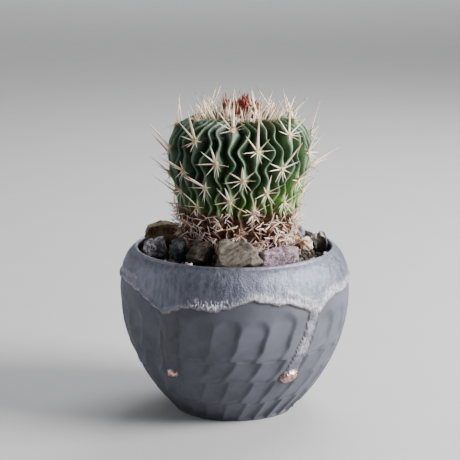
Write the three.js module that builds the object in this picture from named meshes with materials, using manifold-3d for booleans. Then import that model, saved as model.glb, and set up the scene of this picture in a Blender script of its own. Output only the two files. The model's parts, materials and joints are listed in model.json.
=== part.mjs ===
// A potted round cactus: a wavy-ribbed globular cactus with starry spine clusters, standing in gritty
// soil under a mulch of broken stones, in a round hand-carved stoneware pot with a dripping glaze collar.
//
// Units are millimetres, +Z is up, and the origin is the centre of the foot ring, on the surface that the
// pot stands on. An azimuth of 0 is the front (-Y), and azimuths grow towards the right (+X).
import * as THREE from "three";
import { ConvexGeometry } from "three/addons/geometries/ConvexGeometry.js";
import { mergeVertices } from "three/addons/utils/BufferGeometryUtils.js";
import Module from "manifold-3d";

const wasm = await Module();
wasm.setup();

// ---------------------------------------------------------------- driving dimensions

const GAP = 0.3; // between pieces that rest on each other
const DEGREE = Math.PI / 180;

// Pot
const POT_HEIGHT = 72;
const POT_RADIUS = 50; // at the belly
const BELLY_HEIGHT = 51;
const RIM_RADIUS = 43; // at the crown of the lip
const LIP_RADIUS = 1;
const WALL = 4;
const FOOT_RADIUS = 26.5;
const FOOT_RING_WIDTH = 4.5;
const FOOT_RECESS = 3; // depth of the hollow inside the foot ring
const FLOOR_HEIGHT = 7; // inside floor at the drain hole
const DRAIN_RADIUS = 5;
const POT_SIDES = 48;
const NOTCH_RADIUS = 2.6; // half-round air notches cut through the foot ring
const NOTCH_AZIMUTHS = [70, 250];

// Soil
const SOIL_AT_WALL = 65.5; // height of the soil surface
const SOIL_AT_STEM = 71;
const SOIL_MOUND_RADIUS = 24; // the mound is level inside this radius

// Cactus
const RIBS = 34;
const RIB_DEPTH = 4.6;
const DIVERGENCE = 13 / RIBS; // turn from one areole to the next, which puts every 34th on the same rib
const FIRST_AZIMUTH = 87;
const SHOULDER_AREA = 225; // stem surface for each areole at the shoulder, mm2
const BASE_AREA = 118; // and low down, where the old ribs have shrunk together
const LOWEST_SPINES = 87; // the few old areoles below this height have lost theirs
const STEM_LEAN = 0.035; // sideways shift of the stem's axis for each mm of height
const STEM_OFFSET = 1; // sideways shift of the stem's axis at STEM_LEAN_FROM
const STEM_LEAN_FROM = 75;

// ---------------------------------------------------------------- helpers

// A manifold-3d solid from a closed geometry.
function solid(geometry) {
  const bare = geometry.clone();
  bare.deleteAttribute("normal");
  bare.deleteAttribute("uv");
  const merged = mergeVertices(bare, 1e-4);
  return new wasm.Manifold(
    new wasm.Mesh({
      numProp: 3,
      vertProperties: merged.attributes.position.array,
      triVerts: new Uint32Array(merged.index.array),
    }),
  );
}

// A geometry from a manifold-3d solid.
function geometryOf(made) {
  const mesh = made.getMesh();
  return new THREE.BufferGeometry()
    .setAttribute("position", new THREE.BufferAttribute(mesh.vertProperties, 3))
    .setIndex(new THREE.BufferAttribute(mesh.triVerts, 1));
}

// A geometry's corners as a list of points.
function cornersOf(geometry) {
  const at = geometry.attributes.position;
  return Array.from({ length: at.count }, (_, i) => new THREE.Vector3().fromBufferAttribute(at, i));
}

// A repeatable stream of numbers from 0 to 1.
function randomStream(seed) {
  let state = seed * 7919 + 17;
  return () => {
    state = (state * 1103515245 + 12345) % 2147483648;
    return state / 2147483648;
  };
}

// The point at an azimuth, a radius and a height.
function polar(azimuth, radius, height) {
  const a = azimuth * DEGREE;
  return new THREE.Vector3(radius * Math.sin(a), -radius * Math.cos(a), height);
}

// A solid of revolution about +Z, from a profile of [radius, height] points that rises on the outside.
function turned(profile, sides) {
  const points = profile.map(([radius, height]) => new THREE.Vector2(radius, height));
  return new THREE.LatheGeometry(points, sides).rotateX(Math.PI / 2);
}

// Points along a cubic Bezier curve, without its first point.
function bezier(from, pull1, pull2, to, steps) {
  const curve = new THREE.CubicBezierCurve(
    ...[from, pull1, pull2, to].map(([x, y]) => new THREE.Vector2(x, y)),
  );
  return curve.getPoints(steps).slice(1).map((p) => [p.x, p.y]);
}

function smoothstep(from, to, x) {
  const t = Math.min(1, Math.max(0, (x - from) / (to - from)));
  return t * t * (3 - 2 * t);
}

const model = new THREE.Group();

function addPiece(name, geometry, material) {
  const mesh = new THREE.Mesh(geometry, material);
  mesh.name = name;
  model.add(mesh);
  return mesh;
}

// ---------------------------------------------------------------- materials

const stoneware = new THREE.MeshStandardMaterial({ color: 0x5c5d62, roughness: 0.75, metalness: 0 });
const meshPlastic = new THREE.MeshStandardMaterial({ color: 0x26282a, roughness: 0.6, metalness: 0 });
const gritSoil = new THREE.MeshStandardMaterial({ color: 0x2b2622, roughness: 0.95, metalness: 0 });
const cactusSkin = new THREE.MeshStandardMaterial({ color: 0x3d6b35, roughness: 0.55, metalness: 0 });

// ---------------------------------------------------------------- pot

const OUTER_RIM = [RIM_RADIUS + LIP_RADIUS, POT_HEIGHT - LIP_RADIUS];
const INNER_RIM = [RIM_RADIUS - LIP_RADIUS, POT_HEIGHT - LIP_RADIUS];
const INNER_BELLY = [POT_RADIUS - WALL, BELLY_HEIGHT];
const INNER_FLOOR = [22, FLOOR_HEIGHT + 1.2];

// The outer wall below the belly, from the foot's edge up.
const BELLY = [POT_RADIUS, BELLY_HEIGHT];
const lowerWall = bezier([FOOT_RADIUS, 0], [33.5, 7.5], [POT_RADIUS - 0.5, 25], BELLY, 9);
const shoulder = bezier(BELLY, [POT_RADIUS, 60], [48.5, 67], OUTER_RIM, 5);
const LIP_PULL = POT_HEIGHT + LIP_RADIUS / 3; // brings the curve's crown to the pot's height
const lip = bezier(OUTER_RIM, [RIM_RADIUS + 0.9, LIP_PULL], [RIM_RADIUS - 0.9, LIP_PULL], INNER_RIM, 4);
const innerShoulder = bezier(INNER_RIM, [45, 66.5], [POT_RADIUS - WALL, 60], INNER_BELLY, 4);
const innerWall = bezier(INNER_BELLY, [POT_RADIUS - WALL - 0.5, 27], [31.5, 11], INNER_FLOOR, 8);

function potShell() {
  const ringInside = FOOT_RADIUS - FOOT_RING_WIDTH;
  return turned(
    [
      [DRAIN_RADIUS, FOOT_RECESS],
      [ringInside - 1, FOOT_RECESS],
      [ringInside, 0],
      [FOOT_RADIUS, 0],
      ...lowerWall,
      ...shoulder,
      ...lip,
      ...innerShoulder,
      ...innerWall,
      [DRAIN_RADIUS, FLOOR_HEIGHT],
      [DRAIN_RADIUS, FOOT_RECESS],
    ],
    POT_SIDES,
  );
}

// A half-round channel through the foot ring, open at the bottom.
function footNotch(azimuth) {
  const channel = new THREE.CylinderGeometry(NOTCH_RADIUS, NOTCH_RADIUS, 14, 12);
  const middle = polar(azimuth, FOOT_RADIUS - 1, 0);
  return channel.rotateZ(azimuth * DEGREE).translate(middle.x, middle.y, middle.z);
}

// The two sides of the wall, from the foot or the floor up to the rim.
const OUTSIDE = [[FOOT_RADIUS, 0], ...lowerWall, ...shoulder];
const INSIDE = [INNER_RIM, ...innerShoulder, ...innerWall].reverse();

// A side's radius at a height, by interpolation between its points.
function wallRadius(side, height) {
  const above = side.findIndex(([, z]) => z >= height);
  const [[r0, z0], [r1, z1]] = [side[Math.max(0, above - 1)], side[above]];
  return z1 === z0 ? r1 : r0 + ((r1 - r0) * (height - z0)) / (z1 - z0);
}

// A run of thick glaze down the wall that ends in a bead. The route is a list of drops, each with its
// azimuth, height and radius, flattened against the wall, and the glaze fills the stretches between them.
function glazeRun(route) {
  const FLATNESS = 0.5;
  const SINK = 0.9; // of a drop's middle into the wall
  const drops = route.map(([azimuth, height, radius]) => {
    const middle = polar(azimuth, wallRadius(OUTSIDE, height) - SINK, height);
    const drop = new THREE.IcosahedronGeometry(radius, 1).scale(1, FLATNESS, 1).rotateZ(azimuth * DEGREE);
    return cornersOf(drop.translate(middle.x, middle.y, middle.z));
  });
  const stretches = drops.slice(1).map((drop, i) => new ConvexGeometry([...drops[i], ...drop]));
  return wasm.Manifold.union(stretches.map(solid));
}

let pot = solid(potShell());
for (const azimuth of NOTCH_AZIMUTHS) pot = pot.subtract(solid(footNotch(azimuth)));
pot = pot.add(glazeRun([[-33, 53, 3.3], [-34, 44, 3.2], [-35, 34, 3.1], [-36.5, 25, 3.2]]));
pot = pot.add(glazeRun([[43, 53, 3.2], [41, 45, 3.1], [39, 37, 3], [36, 29, 2.8], [32.5, 23.5, 3.6]]));
addPiece("pot", geometryOf(pot), stoneware);

// ---------------------------------------------------------------- drainage mesh over the drain hole

function drainageMesh() {
  const SIDE = 18;
  const THICKNESS = 0.9;
  const HOLE = 2;
  const PITCH = 3.4;
  const PER_SIDE = 4;
  let sheet = solid(new THREE.BoxGeometry(SIDE, SIDE, THICKNESS));
  for (let row = 0; row < PER_SIDE; row++) {
    for (let column = 0; column < PER_SIDE; column++) {
      const x = (column - (PER_SIDE - 1) / 2) * PITCH;
      const y = (row - (PER_SIDE - 1) / 2) * PITCH;
      const hole = new THREE.BoxGeometry(HOLE, HOLE, 3 * THICKNESS).translate(x, y, 0);
      sheet = sheet.subtract(solid(hole));
    }
  }
  return geometryOf(sheet).translate(0, 0, THICKNESS / 2);
}

const MESH_BOTTOM = FLOOR_HEIGHT + 1.2 + GAP; // it lies on the floor, which rises a little to the wall
addPiece("drainage_mesh", drainageMesh(), meshPlastic).position.z = MESH_BOTTOM;

// ---------------------------------------------------------------- cactus stem

// The envelope of the ribs' crests, from the crown down, and the tap root below it: [radius, height].
const STEM_PROFILE = [
  [0, 124.8], [6, 126.3], [14, 128.4], [21, 128.1], [27, 124.9], [30.5, 119], [31.2, 112.5],
  [30, 105.5], [27.9, 98.5], [26, 90], [24.4, 82], [22.8, 75.5], [20, 70],
  [14, 61], [7, 47], [3, 34], [0, 27],
];
const stemCurve = new THREE.SplineCurve(STEM_PROFILE.map(([r, z]) => new THREE.Vector2(r, z)));
const SOIL_LINE = 12 / (STEM_PROFILE.length - 1); // where the curve goes under the soil

// A place on the envelope: its radius, height, and outward direction, for t from 0 (crown) to 1 (root tip).
function stemPlace(t) {
  const point = stemCurve.getPoint(t);
  const tangent = stemCurve.getTangent(t);
  return { radius: Math.max(0, point.x), height: point.y, outR: -tangent.y, outZ: tangent.x };
}

function stemAxis(height) {
  return STEM_OFFSET + STEM_LEAN * (Math.max(height, STEM_LEAN_FROM - 10) - STEM_LEAN_FROM);
}

// How much of the stem's surface an areole takes: little in the growing crown, most on the shoulder.
function areoleArea({ radius, height }, onCrown) {
  if (onCrown) return SHOULDER_AREA * (0.2 + 0.8 * smoothstep(3, 24, radius));
  return BASE_AREA + (SHOULDER_AREA - BASE_AREA) * smoothstep(92, 126, height);
}

// The areoles, from the newest at the crown down.
function placeAreoles() {
  const STEPS = 800;
  const found = [];
  let passed = 0; // areoles passed so far, with fractions
  let last = stemPlace(0);
  for (let step = 1; step <= STEPS * SOIL_LINE; step++) {
    const t = step / STEPS;
    const here = stemPlace(t);
    const slant = Math.hypot(here.radius - last.radius, here.height - last.height);
    passed += (Math.PI * (here.radius + last.radius) * slant) / areoleArea(here, t < 0.26);
    last = here;
    const index = found.length;
    if (passed < index + 0.5) continue;
    found.push({ index, t, azimuth: FIRST_AZIMUTH + index * DIVERGENCE * 360, height: here.height });
  }
  return found;
}

const areoles = placeAreoles();

// How far a rib is pushed sideways by the swollen areoles near it, in degrees.
function ribSway(azimuth, t) {
  const PUSH = 5.2;
  const REACH = 5.4; // up and down the rib, mm
  const SPREAD = 24; // to the sides, degrees
  const { radius, height } = stemPlace(t);
  let sway = 0;
  for (const areole of areoles) {
    const place = stemPlace(areole.t);
    const along = Math.hypot(radius - place.radius, height - place.height) / REACH;
    if (along > 2.5) continue;
    const turn = (azimuth - areole.azimuth) / 360;
    const side = 360 * (turn - Math.round(turn));
    const lateral = Math.tanh(side / 5) * Math.exp(-((side / SPREAD) ** 2));
    sway += PUSH * lateral * Math.exp(-along * along);
  }
  return sway * smoothstep(8, 18, radius);
}

// How deep the furrows between the ribs are, from crown to soil line.
function furrowDepth(t) {
  return RIB_DEPTH * smoothstep(0.02, 0.2, t) * (1 - 0.5 * smoothstep(0.45, 0.68, t)) *
    (1 - smoothstep(0.68, 0.8, t));
}

function stemGeometry() {
  const ROWS = 30;
  const SIDES = 2 * RIBS; // a crest and a furrow for each rib
  const positions = [];
  const indices = [];
  for (let row = 1; row < ROWS; row++) {
    const t = row / ROWS;
    const { radius, height, outR, outZ } = stemPlace(t);
    for (let side = 0; side < SIDES; side++) {
      const azimuth = FIRST_AZIMUTH + (side * 360) / SIDES;
      const inward = side % 2 ? furrowDepth(t) : 0;
      const r = Math.max(0.3, radius - outR * inward);
      const z = height - outZ * inward;
      const point = polar(azimuth + ribSway(azimuth, t), r, z);
      positions.push(point.x + stemAxis(z), point.y, point.z);
    }
  }
  const crown = positions.length / 3;
  for (const t of [0, 1]) {
    const { height } = stemPlace(t);
    positions.push(stemAxis(height), 0, height);
  }
  const at = (row, side) => row * SIDES + (side % SIDES);
  const lastRow = ROWS - 2;
  for (let side = 0; side < SIDES; side++) {
    indices.push(crown, at(0, side), at(0, side + 1));
    indices.push(crown + 1, at(lastRow, side + 1), at(lastRow, side));
    for (let row = 0; row < lastRow; row++) {
      indices.push(at(row, side), at(row + 1, side), at(row, side + 1));
      indices.push(at(row, side + 1), at(row + 1, side), at(row + 1, side + 1));
    }
  }
  return new THREE.BufferGeometry()
    .setAttribute("position", new THREE.Float32BufferAttribute(positions, 3))
    .setIndex(indices);
}


// ---------------------------------------------------------------- spine clusters

// Each spine: [angle from straight up the rib, rise above the skin, length].
const SPINES = [
  [0, 34, 13], [38, 24, 8.2], [-40, 24, 8.4], [92, 22, 6.6], [-94, 22, 6.8], [144, 24, 5.6], [-146, 24, 5.8],
];
const UPRIGHT = 80; // the rise of all spines at the middle of the crown
const PAD_RADIUS = 1.2; // of the woolly pad that the spines grow from

// Where a spine ends, in its cluster's own frame: +Z is out of the skin and +Y is up the rib.
function spineTip([around, rise, length], youth) {
  const tip = new THREE.Vector3(0, length + PAD_RADIUS, 0);
  return tip.applyAxisAngle(new THREE.Vector3(1, 0, 0), (rise + (UPRIGHT - rise) * youth) * DEGREE)
    .applyAxisAngle(new THREE.Vector3(0, 0, 1), -around * DEGREE);
}

// A pad with its spines: each spine is drawn out of the pad's facet that faces its way.
function clusterGeometry(areole) {
  const youth = 1 - smoothstep(8, 29, stemPlace(areole.t).radius);
  const corners = cornersOf(new THREE.IcosahedronGeometry(PAD_RADIUS));
  const facets = [];
  for (let i = 0; i < corners.length; i += 3) facets.push(corners.slice(i, i + 3));
  const spines = [];
  for (const tip of SPINES.map((spine) => spineTip(spine, youth))) {
    const facing = ([a, b, c]) => tip.dot(a) + tip.dot(b) + tip.dot(c);
    facets.sort((one, other) => facing(one) - facing(other));
    const [a, b, c] = facets.pop();
    spines.push([a, b, tip], [b, c, tip], [c, a, tip]);
  }
  return new THREE.BufferGeometry().setFromPoints([...facets, ...spines].flat());
}

// The frame of the cluster that stands on an areole, on its rib's crest.
function clusterFrame(areole) {
  const PAD_RISE = 0.4; // the pad's middle above the crest
  const { radius, height, outR, outZ } = stemPlace(areole.t);
  const around = polar(areole.azimuth, 1, 0);
  const out = new THREE.Vector3(around.x * outR, around.y * outR, outZ).normalize();
  const side = new THREE.Vector3(-around.y, around.x, 0);
  const up = new THREE.Vector3().crossVectors(out, side);
  const middle = polar(areole.azimuth, radius, height).addScaledVector(out, PAD_RISE);
  middle.x += stemAxis(height);
  const scale = 0.85 + 0.15 * smoothstep(0, 12, areole.index);
  return new THREE.Matrix4().makeBasis(side, up, out).scale(new THREE.Vector3(scale, scale, scale))
    .setPosition(middle);
}

// ---------------------------------------------------------------- crown: wool and dried flowers

const WOOL_TOP = 129;

function crownWool() {
  const dome = [[0, 124], [4.2, 125], [6, 127], [4.8, 128.3], [0, WOOL_TOP]];
  return turned(dome, 12).translate(stemAxis(WOOL_TOP), 0, 0);
}

// A withered flower: a crumpled funnel, closed and twisted at the tip, that stands in the wool.
function driedFlower({ azimuth, height, width, lean }) {
  const profile = [[0, -2], [0.25, -2], [0.5, 0.3], [0.42, 0.6], [0.22, 0.85], [0, 1]].map(
    ([r, z]) => [r * width, z < 0 ? z : z * height],
  );
  const foot = polar(azimuth, 2.9, WOOL_TOP - 0.6);
  return turned(profile, 7).rotateY(lean * DEGREE).translate(foot.x + stemAxis(WOOL_TOP), foot.y, foot.z);
}

const DRIED_FLOWERS = [
  { azimuth: 15, height: 11, width: 3.6, lean: 6 },
  { azimuth: -110, height: 9.5, width: 3.2, lean: -8 },
  { azimuth: 130, height: 9, width: 3.2, lean: 9 },
];

// The whole plant grew as one piece, so it is one solid.
const spiny = areoles.filter(({ height }, i) => i > 2 && height > LOWEST_SPINES);
const cactus = wasm.Manifold.union([
  solid(stemGeometry()),
  solid(crownWool()),
  ...DRIED_FLOWERS.map((flower) => solid(driedFlower(flower))),
  ...spiny.map((areole) => solid(clusterGeometry(areole).applyMatrix4(clusterFrame(areole)))),
]);
addPiece("cactus", geometryOf(cactus), cactusSkin);

// ---------------------------------------------------------------- soil

// The soil fills the pot around the tap root, which it clears by a gap.
function soilGeometry() {
  const ROOT_CLEARANCE = 0.8;
  const BASE = MESH_BOTTOM + 0.9 + GAP; // on top of the drainage mesh
  const wall = INSIDE.filter(([, z]) => z > BASE + 0.5 && z < SOIL_AT_WALL - 0.5);
  const block = turned(
    [
      [0, BASE],
      [wallRadius(INSIDE, BASE) - 2 * GAP, BASE],
      ...wall.map(([r, z]) => [r - GAP, z]),
      [wallRadius(INSIDE, SOIL_AT_WALL) - GAP, SOIL_AT_WALL],
      [SOIL_MOUND_RADIUS, SOIL_AT_STEM],
      [0, SOIL_AT_STEM],
    ],
    POT_SIDES,
  );
  const root = STEM_PROFILE.slice(STEM_PROFILE.findIndex(([, z]) => z < SOIL_AT_STEM + 6)).reverse();
  const grown = root.slice(1).map(([r, z]) => [r + ROOT_CLEARANCE, z]);
  const bottom = root[0][1] - 2;
  const socket = turned([[0, bottom], [1.5, bottom], ...grown, [0, grown.at(-1)[1]]], 32);
  return geometryOf(solid(block).subtract(solid(socket.translate(stemAxis(0), 0, 0))));
}

addPiece("soil", soilGeometry(), gritSoil);

// The height of the soil surface at a radius.
function soilHeight(radius) {
  const share = (radius - SOIL_MOUND_RADIUS) / (43.3 - SOIL_MOUND_RADIUS);
  return SOIL_AT_STEM + (SOIL_AT_WALL - SOIL_AT_STEM) * Math.max(0, share);
}

// ---------------------------------------------------------------- stones of the mulch

// place is [azimuth, radius] and size is [along the rim, towards the rim, high]; tip leans the stone down
// towards the rim, and turn spins it.
const STONES = [
  { name: "slate_slab", place: [1.5, 32.6], size: [21.5, 16.5, 9.5], tip: 42, turn: 0, color: 0x837b72 },
  { name: "brown_slate", place: [-27.5, 31.2], size: [12, 13.5, 9.5], tip: 40, turn: 6, color: 0x3f3a35 },
  { name: "porphyry_wedge", place: [35, 33.2], size: [23, 11.5, 9], tip: 18, turn: -4, color: 0x8d8088 },
  { name: "charcoal_stone", place: [-51, 30.4], size: [9.5, 9, 9.5], tip: 6, turn: 14, color: 0x2c2d31 },
  { name: "veined_rock", place: [-73, 35.4], size: [12.5, 11, 9.6], tip: 12, turn: -8, color: 0x6b6570 },
  { name: "ochre_rock", place: [-101, 32.6], size: [13, 18.5, 12.5], tip: 4, turn: 8, color: 0x6f5e45 },
  { name: "pink_pebble", place: [-29, 40.1], size: [5.2, 3, 6], color: 0xb0a0a2 },
  { name: "tan_pebble", place: [94, 26.9], size: [5, 4.6, 5], color: 0xa88a56 },
  { name: "quartz_chip", place: [86, 31.2], size: [6.8, 6.4, 7.2], tip: -6, turn: 30, color: 0xb9a183 },
  { name: "lilac_shard", place: [119, 32.8], size: [6.6, 4.8, 9.8], tip: -10, turn: 6, color: 0x8a8592 },
  { name: "grey_shard", place: [113, 37.4], size: [6.5, 4.2, 8.5], tip: -8, turn: 10, color: 0x8c898c },
  { name: "black_pebble_front", place: [77, 40.4], size: [5.8, 3.6, 4.6], color: 0x141416 },
  { name: "black_pebble_right", place: [94.5, 38.4], size: [10, 5.4, 10.5], color: 0x121214 },
  { name: "black_pebble_back", place: [100.5, 32.8], size: [6.5, 7, 5.5], color: 0x151517 },
  { name: "dark_stone_back", place: [-128, 31.5], size: [11, 11, 8], tip: 6, turn: 20, color: 0x3a3531 },
  { name: "grey_stone_back", place: [135, 33.4], size: [10.5, 11, 7.5], tip: 8, turn: -14, color: 0x77736f },
  { name: "rust_stone_back", place: [-162, 32.5], size: [14, 12, 7], tip: 10, turn: 9, color: 0x6d4f3c },
  { name: "pale_stone_back", place: [164, 31.8], size: [10, 10, 6.5], tip: 6, turn: 25, color: 0x9a948c },
  { name: "grey_pebble_front", place: [60, 39.3], size: [5.5, 4.5, 4], color: 0x74706f },
  { name: "grey_pebble_right", place: [122.5, 39.3], size: [6, 5, 4.5], color: 0x6a6869 },
  { name: "tan_pebble_back", place: [149, 36], size: [6, 6, 5], color: 0xa08c6c },
  { name: "black_pebble_far", place: [181, 36.5], size: [7, 6, 5.5], color: 0x1b1b1d },
  { name: "tan_pebble_left", place: [-117, 38], size: [6, 5, 5], color: 0x94806a },
  { name: "grey_pebble_left", place: [-51, 39.2], size: [5, 3.6, 4], color: 0x66636a },
  { name: "dark_pebble_back", place: [150, 28.2], size: [5, 5.5, 5], color: 0x3c3835 },
];

// A blocky broken stone: the convex hull of points spread over a rounded box.
function stoneGeometry(size, seed) {
  const CORNERS = 15;
  const BLOCKINESS = 0.5;
  const GOLDEN_TURN = Math.PI * (3 - Math.sqrt(5));
  const random = randomStream(seed);
  const points = [];
  for (let i = 0; i < CORNERS; i++) {
    const z = 1 - (2 * (i + 0.5)) / CORNERS;
    const turn = i * GOLDEN_TURN + random() * 0.9;
    const ring = Math.sqrt(1 - z * z);
    const corner = [ring * Math.cos(turn), ring * Math.sin(turn), z].map(
      (c, axis) => Math.sign(c) * Math.abs(c) ** BLOCKINESS * (size[axis] / 2) * (0.8 + 0.2 * random()),
    );
    points.push(new THREE.Vector3(...corner));
  }
  return new ConvexGeometry(points);
}

// Sets a stone down so that its lowest place just clears the soil.
function settle(mesh) {
  mesh.updateMatrix();
  const clearances = cornersOf(mesh.geometry).map((corner) => {
    const { x, y, z } = corner.applyMatrix4(mesh.matrix);
    return z - soilHeight(Math.hypot(x, y));
  });
  mesh.position.z += GAP - Math.min(...clearances);
}

STONES.forEach(({ name, place: [azimuth, radius], size, tip = 0, turn = 0, color }, index) => {
  const material = new THREE.MeshStandardMaterial({ color, roughness: 0.85, metalness: 0 });
  const mesh = addPiece(name, stoneGeometry(size, index + 3), material);
  mesh.position.copy(polar(azimuth, radius, 80));
  mesh.rotation.set(tip * DEGREE, 0, (azimuth + turn) * DEGREE, "ZXY");
  settle(mesh);
});

export default model;
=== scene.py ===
"""A potted round cactus with wavy ribs, in a carved and glazed stoneware pot with a mulch of stones.

Lengths are in millimetres until a mesh is made, which turns them into metres. +Z is up. An azimuth of 0
degrees is the front (-Y), and azimuths grow towards the right (+X).
"""

import json
import math

import bmesh
import bpy
import numpy as np
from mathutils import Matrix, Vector


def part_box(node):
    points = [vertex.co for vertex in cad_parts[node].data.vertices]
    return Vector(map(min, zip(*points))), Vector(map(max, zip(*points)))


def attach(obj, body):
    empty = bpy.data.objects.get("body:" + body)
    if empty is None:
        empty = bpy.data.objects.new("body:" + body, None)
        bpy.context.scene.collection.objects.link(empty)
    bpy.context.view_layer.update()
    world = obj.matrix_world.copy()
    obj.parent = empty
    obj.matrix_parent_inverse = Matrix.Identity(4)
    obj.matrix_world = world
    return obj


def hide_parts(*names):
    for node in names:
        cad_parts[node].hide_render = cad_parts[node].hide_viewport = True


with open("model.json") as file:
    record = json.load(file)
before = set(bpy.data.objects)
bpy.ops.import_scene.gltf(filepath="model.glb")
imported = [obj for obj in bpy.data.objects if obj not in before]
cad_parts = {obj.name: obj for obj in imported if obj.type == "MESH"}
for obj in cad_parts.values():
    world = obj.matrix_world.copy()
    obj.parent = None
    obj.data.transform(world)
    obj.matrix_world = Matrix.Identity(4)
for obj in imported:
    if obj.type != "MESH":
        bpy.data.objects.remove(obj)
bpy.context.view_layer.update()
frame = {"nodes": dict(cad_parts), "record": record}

MM = 0.001  # one millimetre in metres


# ---- numbers and noise


def smoothstep(start, end, x):
    t = np.clip((x - start) / (end - start), 0, 1)
    return t * t * (3 - 2 * t)


def gauss(x, width):
    return np.exp(-((x / width) ** 2))


def polar(azimuth, radius, height):
    """Points at azimuths in degrees, radii and heights, as (..., 3)."""
    a = np.radians(azimuth)
    return np.stack(np.broadcast_arrays(radius * np.sin(a), -radius * np.cos(a), height), -1)


def turn_between(azimuth, other):
    """The signed turn from other to azimuth, from -180 to 180 degrees."""
    return (azimuth - other + 180) % 360 - 180


def bezier(start, pull1, pull2, end, steps):
    """Points along a cubic Bezier curve, with both ends."""
    t = np.linspace(0, 1, steps + 1)[:, None]
    s = 1 - t
    ends = s**3 * np.array(start) + t**3 * np.array(end)
    return ends + 3 * s * s * t * np.array(pull1) + 3 * s * t * t * np.array(pull2)


def resample(path, spacing):
    """The same path with points at about that spacing."""
    along = np.r_[0, np.cumsum(np.linalg.norm(np.diff(path, axis=0), axis=1))]
    at = np.linspace(0, along[-1], max(2, round(along[-1] / spacing) + 1))
    return np.stack([np.interp(at, along, path[:, k]) for k in range(path.shape[1])], -1)


def normalised(v):
    return v / np.maximum(np.linalg.norm(v, axis=-1, keepdims=True), 1e-9)


LATTICE_SIDE = 48
LATTICE = np.random.default_rng(11).uniform(-1, 1, (LATTICE_SIDE,) * 3)


def noise(points, size, seed=0):
    """Smooth noise from -1 to 1 at points (..., 3), with features of about that size."""
    p = points / size + 13.7 * (seed + 1)
    cell = np.floor(p).astype(int)
    f = p - cell
    f = f * f * (3 - 2 * f)
    total = 0
    for corner in np.ndindex(2, 2, 2):
        weight = np.prod(np.where(corner, f, 1 - f), axis=-1)
        at = (cell + corner) % LATTICE_SIDE
        total = total + weight * LATTICE[at[..., 0], at[..., 1], at[..., 2]]
    return total


def rough(points, size, octaves=3, seed=0):
    """Noise with finer noise on it."""
    return sum(noise(points, size / 2**k, seed + k) / 2**k for k in range(octaves))


# ---- meshes and pieces


def new_piece(name, points, faces, look, slot, smooth=True, **attributes):
    """A mesh object that rides on the pot, from points in mm and lists of corner numbers."""
    mesh = bpy.data.meshes.new(name)
    mesh.from_pydata((np.asarray(points) * MM).tolist(), [], faces)
    mesh.polygons.foreach_set("use_smooth", [smooth] * len(mesh.polygons))
    for key, values in attributes.items():
        layer = mesh.attributes.new(key, "FLOAT", "POINT")
        layer.data.foreach_set("value", np.asarray(values, np.float32).ravel())
    mesh.materials.append(look)
    piece = bpy.data.objects.new(name, mesh)
    bpy.context.scene.collection.objects.link(piece)
    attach(piece, "root")
    return piece


def tube_faces(rows, columns, wrap_rows=False):
    """Quads between rows of points, closed round the columns. Rows go down the outside."""
    i = np.arange(rows if wrap_rows else rows - 1)[:, None]
    j = np.arange(columns)[None, :]
    below = (i + 1) % rows
    right = (j + 1) % columns
    corners = [i * columns + j, below * columns + j, below * columns + right, i * columns + right]
    return np.stack(np.broadcast_arrays(*corners), -1).reshape(-1, 4).tolist()


def pole_faces(pole, first, columns, above):
    """Triangles from a pole to the ring of points that starts at first."""
    ring = [(first + j, first + (j + 1) % columns) for j in range(columns)]
    return [(pole, a, b) if above else (pole, b, a) for a, b in ring]


class Soup:
    """Many small closed shapes gathered in one mesh."""

    def __init__(self):
        self.points = []
        self.faces = []
        self.values = {}
        self.count = 0

    def add(self, points, faces, **values):
        self.points.append(points)
        self.faces.extend([tuple(k + self.count for k in face) for face in faces])
        self.count += len(points)
        for key, value in values.items():
            self.values.setdefault(key, []).append(np.broadcast_to(value, len(points)))

    def piece(self, name, look, slot, smooth=True):
        values = {key: np.concatenate(parts) for key, parts in self.values.items()}
        return new_piece(name, np.concatenate(self.points), self.faces, look, slot, smooth, **values)


# ---- materials


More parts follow.
